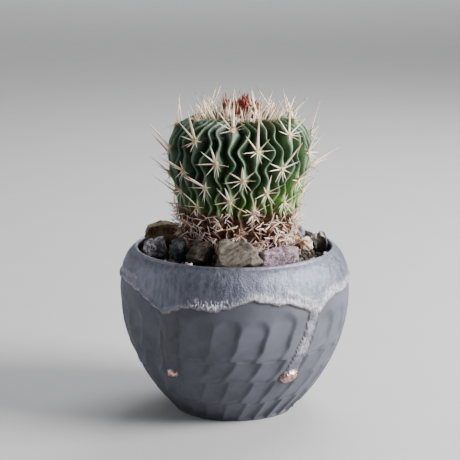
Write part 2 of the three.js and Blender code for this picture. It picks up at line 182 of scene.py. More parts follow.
class Look:
    """A material, built node by node. Textures read object coordinates in millimetres."""

    def __init__(self, name, **settings):
        self.material = bpy.data.materials.new(name)
        self.material.use_nodes = True
        self.tree = self.material.node_tree
        self.shader = self.tree.nodes["Principled BSDF"]
        for key, value in settings.items():
            self.shader.inputs[key.replace("_", " ")].default_value = value
        coordinates = self.tree.nodes.new("ShaderNodeTexCoord")
        inputs = {0: coordinates.outputs["Object"], "Scale": 1 / MM}
        self.place = self.node("ShaderNodeVectorMath", inputs, operation="SCALE").outputs["Vector"]

    def node(self, kind, inputs, **settings):
        made = self.tree.nodes.new(kind)
        for key, value in settings.items():
            setattr(made, key, value)
        for key, value in inputs.items():
            if isinstance(value, bpy.types.NodeSocket):
                self.tree.links.new(value, made.inputs[key])
            else:
                made.inputs[key].default_value = value
        return made

    def math(self, operation, a, b=0.0, clamp=False):
        made = self.node("ShaderNodeMath", {0: a, 1: b}, operation=operation, use_clamp=clamp)
        return made.outputs["Value"]

    def stretched(self, x, y, z, tilt=0.0):
        """Coordinates that make a texture's features longer where the factor is small."""
        inputs = {"Vector": self.place, "Angle": tilt}
        tilted = self.node("ShaderNodeVectorRotate", inputs, rotation_type="Y_AXIS").outputs["Vector"]
        made = self.node("ShaderNodeVectorMath", {0: tilted, 1: (x, y, z)}, operation="MULTIPLY")
        return made.outputs["Vector"]

    def noise(self, size, detail=3.0, roughness=0.55, vector=None):
        """Noise from 0 to 1 with features of that size in mm."""
        inputs = {"Vector": vector or self.place, "Scale": 1 / size, "Detail": detail, "Roughness": roughness}
        return self.node("ShaderNodeTexNoise", inputs).outputs["Fac"]

    def attribute(self, name):
        return self.node("ShaderNodeAttribute", {}, attribute_name=name).outputs["Fac"]

    def attributes(self, *names):
        return [self.attribute(name) for name in names]

    def range(self, value, start, end, low=0.0, high=1.0):
        """Value's stretch from start to end, mapped smoothly to low..high."""
        inputs = {"Value": value, "From Min": start, "From Max": end, "To Min": low, "To Max": high}
        made = self.node("ShaderNodeMapRange", inputs, interpolation_type="SMOOTHSTEP")
        return made.outputs["Result"]

    def mix(self, factor, a, b):
        """Colour a where factor is 0, and b where it is 1."""
        sockets = [c if isinstance(c, bpy.types.NodeSocket) else (*c, 1.0) for c in (a, b)]
        made = self.node("ShaderNodeMix", {"Factor": factor}, data_type="RGBA")
        for key, socket in zip((6, 7), sockets):
            if isinstance(socket, bpy.types.NodeSocket):
                self.tree.links.new(socket, made.inputs[key])
            else:
                made.inputs[key].default_value = socket
        return made.outputs[2]

    def tint(self, value, start, end, a, b):
        """A colour that goes from a to b as the value goes from start to end."""
        return self.mix(self.range(value, start, end), a, b)

    def set(self, key, socket):
        """Feeds a socket into the shader's input of that name."""
        self.tree.links.new(socket, self.shader.inputs[key])

    def bump(self, *layers):
        """Fine relief: (height from 0 to 1, depth in mm) layers."""
        normal = None
        for height, depth in layers:
            inputs = {"Height": height, "Strength": 1.0, "Distance": depth * MM}
            if normal:
                inputs["Normal"] = normal
            normal = self.node("ShaderNodeBump", inputs).outputs["Normal"]
        self.set("Normal", normal)


def pot_look():
    """Dark stoneware, with glaze where the attribute glaze says, frosted at its edge, and copper beads."""
    look = Look("stoneware_and_glaze", Specular_IOR_Level=0.5)
    glaze, frost, copper, shade, hatch_and_glints = look.attributes("glaze", "frost", "copper", "shade", "hatch_and_glints")

    grain = look.noise(0.5, 4, 0.7)
    cloud = look.noise(14, 4, 0.6)
    clay = look.tint(cloud, 0.3, 0.7, (0.062, 0.064, 0.084), (0.09, 0.093, 0.122))
    clay = look.mix(look.range(grain, 0.62, 0.74, 0, 0.35), clay, (0.035, 0.035, 0.04))
    # Painted shade: the clay is darkened where the attribute shade says, under the glaze's edge and round its
    # runs and beads.
    clay = look.mix(shade, clay, (0.03, 0.028, 0.028))

    streaks = look.noise(1.9, 5, 0.6, look.stretched(1, 1, 0.3))
    pits = look.noise(0.75, 3, 0.7)
    satin = look.tint(streaks, 0.3, 0.72, (0.1, 0.108, 0.14), (0.18, 0.19, 0.245))
    satin = look.mix(look.range(pits, 0.62, 0.74, 0, 0.3), satin, (0.3, 0.32, 0.35))

    crackle = look.noise(0.8, 4, 0.7, look.stretched(1, 1, 0.45))
    rime = look.tint(crackle, 0.38, 0.64, (0.15, 0.145, 0.165), (0.5, 0.47, 0.52))
    rime_amount = look.math("MULTIPLY", frost, look.range(crackle, 0.35, 0.6, 0.15, 1.0), clamp=True)

    metal = look.tint(look.noise(1.4, 3), 0.35, 0.65, (0.3, 0.15, 0.11), (0.85, 0.6, 0.5))
    strokes = look.noise(0.75, 3, 0.6, look.stretched(1, 1, 0.22))
    # White crackle strokes, and painted glints where they lie on the lit band at the right.
    white = look.math("MULTIPLY", hatch_and_glints, look.range(strokes, 0.5, 0.6), clamp=True)
    glazed = look.mix(white, look.mix(rime_amount, satin, rime), (0.72, 0.7, 0.74))
    colour = look.mix(glaze, clay, glazed)
    look.set("Base Color", look.mix(copper, colour, metal))

    matte = look.range(look.noise(3, 3), 0.3, 0.7, 0.56, 0.68)
    glossy = look.range(streaks, 0.3, 0.7, 0.3, 0.46)
    roughness = look.node("ShaderNodeMix", {"Factor": glaze, "A": matte, "B": glossy}).outputs[0]
    beads = look.node("ShaderNodeMix", {"Factor": copper, "A": roughness, "B": 0.2}).outputs[0]
    look.set("Roughness", beads)
    sheen = look.math("MULTIPLY", glaze, look.math("SUBTRACT", 0.62, look.math("MULTIPLY", frost, 0.45)))
    look.set("Metallic", look.math("ADD", sheen, look.math("MULTIPLY", copper, 0.5), clamp=True))
    peel = look.math("MULTIPLY", glaze, look.math("ADD", pits, look.math("MULTIPLY", streaks, 0.4)))
    look.bump((peel, 0.34), (grain, 0.05), (look.math("MULTIPLY", frost, crackle), 0.3), (white, 0.25))
    return look.material


def skin_look():
    """Waxy green skin: pale along the ribs' edges, yellower low down, and corky at the foot. Painted light
    makes it brighter on the right, where the light falls, and painted shade darkens its furrows.
    """
    look = Look("cactus_skin", Specular_IOR_Level=0.45, Subsurface_Weight=0.12, Subsurface_Scale=0.0015)
    look.shader.inputs["Subsurface Radius"].default_value = (0.5, 1.0, 0.2)
    edge, lit_side_and_yellowing, cork, furrow = look.attributes("edge", "sunny", "cork", "furrow")
    patches = look.noise(3.5, 4, 0.6)
    flecks = look.noise(0.35, 3, 0.6)
    # Painted light: a shaded green and a lit, yellower green, mixed brighter on the right and lower down.
    dark = look.tint(patches, 0.35, 0.7, (0.008, 0.031, 0.013), (0.019, 0.057, 0.02))
    bright = look.tint(patches, 0.3, 0.7, (0.05, 0.135, 0.018), (0.15, 0.26, 0.04))
    green = look.mix(lit_side_and_yellowing, dark, bright)
    # Painted shade: darker deep in the furrows between the ribs.
    green = look.mix(look.math("MULTIPLY", furrow, 0.66), green, (0.004, 0.014, 0.006))
    # The ribs' pale edges, brighter where painted light falls.
    rim = look.mix(lit_side_and_yellowing, (0.09, 0.15, 0.1), (0.3, 0.4, 0.18))
    green = look.tint(edge, 0.3, 0.95, green, rim)
    green = look.mix(look.range(flecks, 0.66, 0.74, 0, 0.5), green, (0.3, 0.42, 0.26))
    plates = look.noise(1.6, 5, 0.7)
    bark = look.tint(plates, 0.35, 0.65, (0.022, 0.012, 0.008), (0.17, 0.075, 0.034))
    look.set("Base Color", look.mix(cork, green, bark))
    look.set("Roughness", look.range(patches, 0.2, 0.8, 0.42, 0.6))
    look.bump((look.noise(1.1, 4, 0.6), 0.16), (flecks, 0.03))
    return look.material


def spine_look():
    """Horny spines: cream with a tan foot, and a dark tip on the young ones."""
    look = Look("spine_horn", Specular_IOR_Level=0.5, Subsurface_Weight=0.08, Subsurface_Scale=0.0006)
    along, youth, tone = look.attributes("along", "youth", "tone")
    grain = look.noise(0.4, 3, 0.6, look.stretched(1, 1, 0.3))
    cream = look.mix(tone, (0.74, 0.55, 0.42), (0.92, 0.82, 0.68))
    cream = look.mix(look.range(grain, 0.45, 0.7, 0, 0.5), cream, (0.6, 0.4, 0.27))
    foot = look.range(along, 0.0, 0.28, 1, 0)
    horn = look.mix(foot, cream, (0.62, 0.44, 0.2))
    tip = look.math("MULTIPLY", look.range(along, 0.66, 0.86), youth)
    look.set("Base Color", look.mix(tip, horn, (0.06, 0.02, 0.015)))
    look.set("Roughness", look.range(grain, 0.3, 0.7, 0.4, 0.6))
    look.bump((grain, 0.06))
    return look.material


def dead_spine_look():
    """Weathered old spines: pinkish beige, grey and rust."""
    look = Look("old_spines", Specular_IOR_Level=0.35)
    tone = look.attribute("tone")
    grain = look.noise(0.5, 3, 0.6)
    dry = look.tint(tone, 0.05, 0.25, (0.12, 0.055, 0.03), (0.5, 0.27, 0.16))
    dry = look.tint(tone, 0.3, 0.5, dry, (0.86, 0.72, 0.66))
    look.set("Base Color", look.mix(look.range(grain, 0.45, 0.7, 0, 0.5), dry, (0.4, 0.24, 0.15)))
    look.set("Roughness", look.range(grain, 0.3, 0.7, 0.55, 0.8))
    look.bump((grain, 0.08))
    return look.material


def felt_look(name, pale, tan):
    """Matted woolly felt."""
    look = Look(name, Specular_IOR_Level=0.15, Sheen_Weight=0.5, Sheen_Roughness=0.5)
    tuft = look.noise(0.35, 5, 0.75)
    look.set("Base Color", look.tint(tuft, 0.35, 0.68, tan, pale))
    look.set("Roughness", look.range(tuft, 0.2, 0.8, 0.85, 1.0))
    look.bump((tuft, 0.3))
    return look.material


def petal_look():
    """Withered petals: crimson to rust with papery tan edges."""
    look = Look("dried_petals", Specular_IOR_Level=0.3, Subsurface_Weight=0.1, Subsurface_Scale=0.001)
    tone, along = look.attributes("tone", "along")
    crease = look.noise(0.6, 4, 0.7)
    red = look.tint(crease, 0.35, 0.65, (0.05, 0.007, 0.006), (0.27, 0.035, 0.022))
    tan = look.tint(crease, 0.35, 0.65, (0.22, 0.09, 0.035), (0.55, 0.33, 0.16))
    colour = look.tint(tone, 0.35, 0.65, red, tan)
    look.set("Base Color", look.mix(look.range(along, 0.8, 1.0, 0, 0.7), colour, (0.07, 0.02, 0.015)))
    look.set("Roughness", look.range(crease, 0.3, 0.7, 0.55, 0.85))
    look.bump((crease, 0.25))
    return look.material


def soil_look():
    """Dark gritty soil. The attribute tone picks each grain's colour."""
    look = Look("grit_soil", Specular_IOR_Level=0.3)
    tone = look.attribute("tone")
    speck = look.noise(0.5, 4, 0.7)
    dark = look.tint(speck, 0.35, 0.65, (0.016, 0.012, 0.01), (0.06, 0.047, 0.038))
    warm = look.tint(tone, 0.6, 0.8, dark, (0.16, 0.12, 0.085))
    look.set("Base Color", look.tint(tone, 0.9, 0.97, warm, (0.5, 0.47, 0.43)))
    look.set("Roughness", look.range(speck, 0.3, 0.7, 0.7, 0.95))
    look.bump((speck, 0.2))
    return look.material


def mesh_look():
    """Black moulded plastic."""
    look = Look("mesh_plastic", Specular_IOR_Level=0.4)
    grain = look.noise(0.4, 3)
    look.set("Base Color", look.mix(grain, (0.012, 0.013, 0.014), (0.03, 0.032, 0.034)))
    look.set("Roughness", look.range(grain, 0.3, 0.7, 0.45, 0.6))
    look.bump((grain, 0.05))
    return look.material


def stone_look(name, dark, light, accent, vein=0.0, speck=0.35, gloss=0.0, patch=3.2, strata=False):
    """Broken stone: two tones in patches or layers, with specks and veins of an accent colour."""
    look = Look(name, Specular_IOR_Level=0.35 + 0.3 * gloss)
    layers = look.stretched(0.6, 0.6, 3.4, 0.5) if strata else None
    patches = look.noise(patch, 6, 0.66, layers)
    grain = look.noise(0.5, 4, 0.7)
    colour = look.tint(patches, 0.36, 0.64, dark, light)
    colour = look.mix(look.range(grain, 0.56, 0.66, 0, speck), colour, accent)
    ridge = look.math("ABSOLUTE", look.math("SUBTRACT", look.noise(4.5, 4, 0.6), 0.5))
    colour = look.mix(look.range(ridge, 0.012, 0.035, vein, 0), colour, accent)
    look.set("Base Color", colour)
    rough_level = 0.86 - 0.66 * gloss
    look.set("Roughness", look.range(grain, 0.3, 0.7, rough_level - 0.1, rough_level + 0.06))
    look.bump((patches, 0.5 - 0.35 * gloss), (grain, 0.14 - 0.1 * gloss))
    return look.material


# ---- the pot

WALL_STEP = 0.5  # spacing of the pot's rows on the outside
POT_COLUMNS = 480
BELLY = (50, 51)
OUTER_RIM = (44, 71)
INNER_RIM = (42, 71)
FOOT_EDGE = (26.5, 0)
NOTCHES = (70, 250)  # azimuths of the foot's air notches
NOTCH_RADIUS = 2.6
FOOT_ZONE = 3.8  # the notches lift what is lower than this,
RING_INSIDE = 20.5  # and further from the axis than this

FACET_COLUMNS = 26
FACET_DEPTH = 1.2
DEEPEST = 0.6  # where a scoop is deepest, from -1 at its left side to 1 at its right side
# The carved rows' borders, from the top: height in a column's middle, rise from there to its right side, and
# how much of a scoop's depth is left at the border.
FACET_BORDERS = (
    (62, 0, 1), (40.5, 3.0, 0.86), (32.8, 1.3, 0.3), (22.9, 1.3, 0.3), (11.5, 1.3, 0.3), (-4, 0, 0.6),
)
DEEP_CREASE = 0.45  # depth left at the first border, where the crease is cut deep
SHALLOW_CREASES_END = 70  # no crease is cut deep from the front to this azimuth
ARCH_TOP = 52.2  # how high a column's carving reaches in its middle
ARCH_DROP = 4.4  # and how much lower it ends at its sides
ARCH_FADE = 4.4  # height over which the carving reaches its depth
# Where a column's left side is, as (height, azimuth) in each band: it leans to the left on its way down, and
# then jumps back.
FACET_SIDES = (
    ((62, 4.2), (50, 4.4), (46, 3.2), (42, 1.7), (37, 0.7), (31.5, -3.4)),
    ((31.5, 0.6), (27, -2), (21.6, -7.8)),
    ((21.6, -3.2), (16, -6.4), (10.2, -11)),
    ((10.2, -6.4), (-4, -13)),
)

# The glaze's lower edge: azimuth and height.
GLAZE_EDGE = (
    (-180, 56.5), (-150, 58), (-128, 55.5), (-105, 58.5), (-82, 59.5), (-70, 60.3), (-60, 59.6), (-45, 55.4),
    (-36, 51.5), (-29, 54), (-21, 56), (-9, 54.7), (-2, 56.4), (9, 59.4), (19, 56.6), (26, 56.8), (32, 55),
    (38, 52.5), (45, 50.5), (50, 54.4), (57, 56.2), (72, 56.6), (92, 58.6), (112, 55.2), (136, 58), (158, 55),
    (180, 56.5),
)
# Each run of glaze: stations of (height, azimuth, half width), its relief, frosting, and its bead as
# (height, azimuth, half width, half height, relief).
RUNS = (
    {
        "stations": (
            (56, 42, 3.7), (49, 41.2, 2.3), (42, 39.8, 2.3), (36, 37.4, 2.7), (30, 35, 3), (24, 32.3, 3),
        ),
        "relief": 0.85, "cover": 0.85, "frost": 0.62, "bead": (23.4, 32, 4.1, 2.8, 2),
    },
    {
        "stations": ((54, -33.5, 4), (46, -33.8, 3.6), (38, -34.6, 3.6), (32, -35.4, 3.4), (25, -37, 3)),
        "relief": 0.9, "cover": 0.16, "frost": 0.0, "bead": (24.2, -37, 2.9, 1.7, 1.7),
    },
)


def pot_profile():
    """Rows of (radius, height) round the wall's section: down the outside, and up the inside."""
    shoulder = bezier(OUTER_RIM, (48.5, 67), (50, 60), BELLY, 40)
    wall = bezier(BELLY, (49.5, 25), (33.5, 7.5), FOOT_EDGE, 60)
    outside = resample(np.concatenate([shoulder, wall[1:]]), WALL_STEP)
    foot = np.array([(26.2, 0), (24.5, 0), (22.2, 0), (21.6, 1.2), (21, 3), (12, 3), (5.4, 3), (5, 3.3)])
    inner_wall = bezier((22, 8.2), (31.5, 11), (45.5, 27), (46, 51), 14)
    inner_shoulder = bezier((46, 51), (46, 60), (45, 66.5), INNER_RIM, 8)
    lip = bezier(INNER_RIM, (42.1, 72.33), (43.9, 72.33), OUTER_RIM, 8)
    inside = np.concatenate([[(5, 6.6), (5.4, 7)], inner_wall, inner_shoulder[1:], lip[1:-1]])
    return outside, np.concatenate([foot, inside])


def facet_depth(azimuth, height):
    """How deep the carving is below the turned wall. Azimuths run from 0 to 360 here."""
    random = np.random.default_rng(3).uniform(-1, 1, (FACET_COLUMNS, 8))
    level = height + 0.9 * noise(polar(azimuth, 50, 0), 13, 9)
    left_side = 0
    for band in FACET_SIDES:
        heights, azimuths = np.array(band)[::-1].T
        within = (level <= heights[-1]) & (level > heights[0])
        left_side = np.where(within, np.interp(level, heights, azimuths), left_side)
    place = (azimuth - left_side) * FACET_COLUMNS / 360 + 0.05 * noise(polar(azimuth, 50, height), 8, 5)
    column = np.floor(place).astype(int) % FACET_COLUMNS
    across = 2 * (place - np.floor(place)) - 1
    deep = smoothstep(0.2, 0.5, random[column, 6]) * (azimuth > SHALLOW_CREASES_END)
    scoop = np.zeros_like(level)
    for row, (upper, lower) in enumerate(zip(FACET_BORDERS, FACET_BORDERS[1:])):
        top, bottom = (border[0] + border[1] * across for border in (upper, lower))
        left_at_top, left_at_bottom = (border[2] for border in (upper, lower))
        if row == 0:
            left_at_bottom = left_at_bottom + (DEEP_CREASE - left_at_bottom) * deep
        if row == 1:
            left_at_top = left_at_top + (DEEP_CREASE - left_at_top) * deep
        v = np.clip((top - level) / (top - bottom), 0, 1)
        hollow = 1 - (1 - left_at_top) * (1 - v) ** 3.5 - (1 - left_at_bottom) * v**3.5
        within = (level <= top) & (level > bottom)
        scoop = np.where(within, hollow * (1 + 0.18 * random[column, row + 1]), scoop)
    arch = ARCH_TOP + 1.6 * random[column, 7] - ARCH_DROP * np.abs(across) ** 2.4
    # Each scoop slopes gently from its left side to its deepest line, and rises steeply to its right side.
    gentle = 1 - np.abs((across - DEEPEST) / (1 + DEEPEST)) ** 1.8
    steep = 1 - np.abs((across - DEEPEST) / (1 - DEEPEST)) ** 2.6
    section = np.where(across < DEEPEST, gentle, steep)
    return FACET_DEPTH * scoop * section * smoothstep(-0.3, ARCH_FADE, arch - height)


def glaze_layers(azimuth, height, radius):
    """The glaze's thickness, and the masks collar, glaze, frost, copper, hatch and shade, all in a dict.

    Azimuths run from 0 to 360 here, too.
    """
    place = polar(azimuth, radius, height)
    edge_azimuths, edge_heights = np.array(GLAZE_EDGE).T
    edge = np.interp(turn_between(azimuth, 0), edge_azimuths, edge_heights)
    edge = edge + 0.6 * noise(place, 4, 1) + 0.35 * noise(place, 1.4, 2)
    above = height - edge
    cover = smoothstep(-0.25, 0.2, above)
    roll = gauss(above - 0.9, 0.95)
    second = gauss(above - 4.2 - 1.5 * noise(place, 9, 12), 1.3) * smoothstep(0, 0.4, noise(place, 11, 13))
    lumps = 0.16 * rough(place * [1, 1, 0.7], 3.2, 3, 14)
    thickness = cover * (0.4 + 0.62 * roll * (1 + 0.45 * noise(place, 2.4, 3)) + 0.3 * second + lumps)
    right = smoothstep(-10, 25, azimuth) * smoothstep(100, 60, azimuth)
    band = 1.9 + 4.4 * right + 1.3 * noise(place, 5, 4)
    frost = cover * smoothstep(band, band * 0.35, above) * (0.62 + 0.3 * right)
    frost = np.maximum(frost, 0.5 * cover * smoothstep(0.3, 0.9, second))
    strip = smoothstep(0.1, 0.7, above) * smoothstep(4.6, 3.0, above + noise(place, 2, 15))
    # White crackle strokes round azimuth -12, and painted glints in the same strokes along the lit band at
    # the right.
    hatch_and_glints = strip * np.maximum(gauss(turn_between(azimuth, -12), 9), 0.4 * right)
    copper = 0.25 * gauss(above + 0.1, 0.22) * smoothstep(0, 30, azimuth)
    # Painted shadow: a dark band just under the glaze's raised lower edge.
    shade = smoothstep(-1.0, -0.15, above) * 0.9
    collar = cover
    for run in RUNS:
        heights, azimuths, widths = np.array(run["stations"])[::-1].T
        middle = np.interp(height, heights, azimuths)
        half = np.interp(height, heights, widths) * (1 + 0.1 * noise(place, 5, 6))
        side = turn_between(azimuth, middle) * np.radians(radius)
        inside = (height < heights[-1]) & (height > heights[0])
        offset = np.abs(side) / half
        bulge = np.sqrt(np.clip(1 - offset**2, 0, 1)) * inside
        drops = 1 + 0.35 * noise(place * [1, 1, 0.8], 3, 7)
        thickness = np.maximum(thickness, run["relief"] * bulge * drops)
        on_run = smoothstep(0, 0.3, bulge)
        cover = np.maximum(cover, on_run * run["cover"])
        fade = smoothstep(heights[0] + 3, heights[0] + 14, height) * 0.6 + 0.25
        frost = np.maximum(frost, on_run * run["frost"] * fade)
        crackle = gauss(height - 38, 3) + 0.6 * gauss(height - 47, 4)
        hatch_and_glints = np.maximum(hatch_and_glints, on_run * run["frost"] * crackle)
        copper = np.maximum(copper, 0.2 * gauss(offset - 1, 0.05) * inside * run["frost"])
        # Painted shade over the run and a little beyond its sides, faint where glaze covers the clay.
        shade = np.maximum(shade, smoothstep(1.5, 1.0, offset) * inside * (0.45 + 0.4 * run["frost"]))
        bead_height, bead_azimuth, half_width, half_height, relief = run["bead"]
        x = turn_between(azimuth, bead_azimuth) * np.radians(radius) / half_width
        y = (height - bead_height) / half_height - 0.25 * x
        ball = np.sqrt(np.clip(1 - x * x - y * y, 0, 1))
        thickness = np.maximum(thickness, relief * ball)
        copper = np.maximum(copper, smoothstep(0.05, 0.4, ball))
        off_bead = 1 - smoothstep(0, 0.3, ball)
        frost, hatch_and_glints = frost * off_bead, hatch_and_glints * off_bead
        cover = np.maximum(cover, smoothstep(0, 0.3, ball))
        # Painted shade: a dark outline round the bead.
        shade = np.maximum(shade, 0.95 * smoothstep(1.34, 1.1, np.sqrt(x * x + y * y)))
    return {
        "thickness": thickness, "collar": collar, "glaze": cover, "frost": frost, "copper": copper,
        "hatch_and_glints": hatch_and_glints, "shade": shade * (1 - cover),
    }


def make_pot():
    outside, inside = pot_profile()
    azimuth = np.arange(POT_COLUMNS)[None, :] * 360 / POT_COLUMNS
    radius, height = outside[:, :1], outside[:, 1:]
    slope = normalised(np.gradient(outside, axis=0))
    radius, height, azimuth = np.broadcast_arrays(radius, height, azimuth)
    facets = facet_depth(azimuth, height)
    layers = glaze_layers(azimuth, height, radius)
    relief = layers.pop("thickness") - facets * (1 - layers.pop("collar")) * (1 - layers["copper"])
    relief = relief + 0.05 * noise(polar(azimuth, radius, height), 6, 8)
    relief = relief * smoothstep(0, 1.2, height) * smoothstep(71.2, 69.5, height)
    out_radius = radius - slope[:, 1:] * relief
    out_height = height + slope[:, :1] * relief
    outer = polar(azimuth, out_radius, out_height)
    inner_azimuth = np.broadcast_to(azimuth[:1], (len(inside), POT_COLUMNS))
    inner = polar(inner_azimuth, inside[:, :1], inside[:, 1:])
    points = np.concatenate([outer, inner])
    turn = np.concatenate([azimuth, inner_azimuth])
    for notch in NOTCHES:
        side = turn_between(turn, notch) * np.radians(FOOT_EDGE[0])
        arch = np.sqrt(np.clip(NOTCH_RADIUS**2 - side**2, 0, None))
        low = points[..., 2] < FOOT_ZONE
        on_ring = np.linalg.norm(points[..., :2], axis=-1) > RING_INSIDE
        lifted = arch + points[..., 2] * (FOOT_ZONE - arch) / FOOT_ZONE
        points[..., 2] = np.where(low & on_ring, lifted, points[..., 2])
    lip_glaze = np.broadcast_to(smoothstep(66, 69, inside[:, 1:]), inner_azimuth.shape)
    faces = tube_faces(len(points), POT_COLUMNS, wrap_rows=True)
    attributes = {
        key: np.concatenate([mask, lip_glaze if key == "glaze" else np.zeros(lip_glaze.shape)])
        for key, mask in layers.items()
    }
    piece = new_piece("planter", points.reshape(-1, 3), faces, pot_look(), "stoneware", **attributes)
    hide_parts("pot")


# ---- the cactus stem

RIBS = 34
RIB_DEPTH = 4.6
COLUMNS_PER_RIB = 14
STEM_STEP = 0.4
DIVERGENCE = 360 * 13 / RIBS
FIRST_AZIMUTH = 87
SHOULDER_AREA = 225  # stem surface for each areole at the shoulder, mm2
BASE_AREA = 118
STEM_PROFILE = (
    (0, 124.8), (6, 126.3), (14, 128.4), (21, 128.1), (27, 124.9), (30.5, 119), (31.2, 112.5),
    (30, 105.5), (27.9, 98.5), (26, 90), (24.4, 82), (22.8, 75.5), (20, 70),
    (14, 61), (7, 47), (3, 34), (0, 27),
)
SOIL_LINE = 12 / (len(STEM_PROFILE) - 1)
STEM_END = 13.2 / (len(STEM_PROFILE) - 1)  # the shown stem ends a little under the soil


def stem_place(t):
    """Radius, height and outward direction on the ribs' envelope, for t from 0 (crown) to 1 (root)."""

    def spline(t):
        knots = np.array(STEM_PROFILE, float)
        last = len(knots) - 1
        p = np.clip(t, 0, 1) * last
        k = np.minimum(np.floor(p).astype(int), last)
        w = (p - k)[..., None]
        p0, p1, p2, p3 = (knots[np.clip(k + d, 0, last)] for d in (-1, 0, 1, 2))
        v0, v1 = (p2 - p0) / 2, (p3 - p1) / 2
        return (2 * p1 - 2 * p2 + v0 + v1) * w**3 + (-3 * p1 + 3 * p2 - 2 * v0 - v1) * w**2 + v0 * w + p1

    t = np.asarray(t, float)
    point = spline(t)
    tangent = normalised(spline(t + 1e-4) - spline(t - 1e-4))
    return np.maximum(0, point[..., 0]), point[..., 1], -tangent[..., 1], tangent[..., 0]


def stem_axis(height):
    """How far the stem's axis is to the right of the pot's."""
    return 1 + 0.035 * (np.maximum(height, 65) - 75)


STEM_T = np.linspace(0, STEM_END, 4000)
_radius, _height, _, _ = stem_place(STEM_T)
STEM_ALONG = np.r_[0, np.cumsum(np.hypot(np.diff(_radius), np.diff(_height)))]


def place_areoles():
    """The areoles from the crown down: arrays of t, azimuth, distance along the stem, and height."""
    steps = np.linspace(0, SOIL_LINE, 600)
    radius, height, _, _ = stem_place(steps)
    slant = np.hypot(np.diff(radius), np.diff(height))
    area = np.pi * (radius[1:] + radius[:-1]) * slant
    crown = SHOULDER_AREA * (0.2 + 0.8 * smoothstep(3, 24, radius[1:]))
    side = BASE_AREA + (SHOULDER_AREA - BASE_AREA) * smoothstep(92, 126, height[1:])
    passed = np.cumsum(area / np.where(steps[1:] < 0.26, crown, side))
    count = int(passed[-1])
    t = np.interp(np.arange(count) + 0.5, passed, steps[1:])
    azimuth = turn_between(FIRST_AZIMUTH + np.arange(count) * DIVERGENCE, 0)
    return t, azimuth, np.interp(t, STEM_T, STEM_ALONG), stem_place(t)[1]


AREOLE_T, AREOLE_AZIMUTH, AREOLE_ALONG, AREOLE_HEIGHT = place_areoles()


def rib_sway(azimuth, along, radius):
    """How far the ribs are pushed sideways by the swollen areoles near them, in degrees."""
    push, reach_above, reach_below, spread = 7.6, 3.5, 5.3, 24
    sway = np.zeros(np.broadcast(azimuth, along).shape)
    for areole_azimuth, areole_along in zip(AREOLE_AZIMUTH, AREOLE_ALONG):
        side = turn_between(azimuth, areole_azimuth)
        lateral = np.tanh(side / 5) * gauss(side, spread)
        below = along - areole_along
        reach = np.where(below > 0, reach_below, reach_above)
        sway += push * lateral * np.exp(-((np.sqrt(below**2 + 0.8) / reach) ** 1.75))
    return sway * smoothstep(8, 18, radius)


def furrow_depth(t):
    fade = (1 - 0.5 * smoothstep(0.45, 0.68, t)) * (1 - smoothstep(0.68, 0.8, t))
    return RIB_DEPTH * smoothstep(0.02, 0.2, t) * fade


def furrow_shape(x):
    """The furrow's cut from 0 at a rib's rounded edge (x = 0) to 1 in the furrow's floor (x = 1)."""
    edge = 0.19
    return (np.sqrt(x * x + edge * edge) - edge) / (math.sqrt(1 + edge * edge) - edge)


def make_stem():
    rows = max(3, round(STEM_ALONG[-1] / STEM_STEP))
    along = np.linspace(0, STEM_ALONG[-1], rows + 1)[1:]
    t = np.interp(along, STEM_ALONG, STEM_T)[:, None]
    along = along[:, None]
    within = np.linspace(-1, 1, COLUMNS_PER_RIB, endpoint=False)
    within = np.sign(within) * np.abs(within) ** 1.35  # closer together at the rib's edge
    azimuth = (FIRST_AZIMUTH + (np.arange(RIBS)[:, None] + within / 2) * 360 / RIBS).reshape(1, -1)
    x = np.tile(np.abs(within), RIBS)[None, :]
    radius, height, out_r, out_z = stem_place(t)

    sway = rib_sway(azimuth, along, radius)
    bulge = np.zeros(sway.shape)
    for areole_azimuth, areole_along in zip(AREOLE_AZIMUTH, AREOLE_ALONG):
        side = turn_between(azimuth, areole_azimuth) * np.radians(radius)
        bulge += gauss(side, 1.7) * gauss(along - areole_along, 2.4)
    place = polar(azimuth, radius, height)
    cut = furrow_depth(t) * furrow_shape(x) * (1 - 0.55 * np.clip(bulge, 0, 1))
    cut = cut + 0.22 * noise(place, 3, 20) * smoothstep(8, 16, radius) - 0.5 * bulge
    cork = smoothstep(92, 87, height + 2.5 * noise(place, 6, 21))
    cut = cut + cork * 0.7 * rough(place, 2.5, 3, 22)
    r = np.maximum(0.3, radius - out_r * cut)
    z = height - out_z * cut
    points = polar(azimuth + sway * (1 - 0.35 * x), r, z)
    points[..., 0] += stem_axis(z)

    columns = points.shape[1]
    flat = points.reshape(-1, 3)
    crown = [stem_axis(124.8), 0, 124.8]
    base = [stem_axis(0), 0, float(height[-1, 0]) - 1]
    flat = np.concatenate([flat, [crown, base]])
    faces = tube_faces(rows, columns)
    faces += pole_faces(len(flat) - 2, 0, columns, True)
    faces += pole_faces(len(flat) - 1, (rows - 1) * columns, columns, False)

    edge = (1 - smoothstep(0.1, 0.46, x)) * smoothstep(10, 20, radius) * np.ones(sway.shape)
    # Painted light: the skin is brighter on the right, where the light falls, most on the areoles' bulges; it
    # is also yellower lower down.
    rightness = 0.5 + 0.5 * np.sin(np.radians(azimuth - 5))
    sunny = smoothstep(112, 94, height + 9 * (1 - rightness) + 3 * noise(place, 8, 23))
    sunny = sunny * (0.45 + 0.55 * rightness)
    sunny = np.clip(sunny + 0.35 * np.clip(bulge, 0, 1) * rightness + 0.2 * rightness, 0, 1)
    # Painted shade: how much the skin is darkened towards the furrows' floors.
    furrow = smoothstep(0.45, 1, x) * np.ones(sway.shape)

    def with_poles(values):
        return np.r_[np.broadcast_to(values, sway.shape).ravel(), 0, 0]

    piece = new_piece(
        "cactus_body", flat, faces, skin_look(), "cactus_skin",
        edge=with_poles(edge), sunny=with_poles(sunny), furrow=with_poles(furrow), cork=with_poles(cork),
    )
    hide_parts("cactus")


# ---- spines

BLADE_RINGS = 7
BLADE_SIDES = 6
SPINE_FLATNESS = 0.5  # a spine's thickness over its width


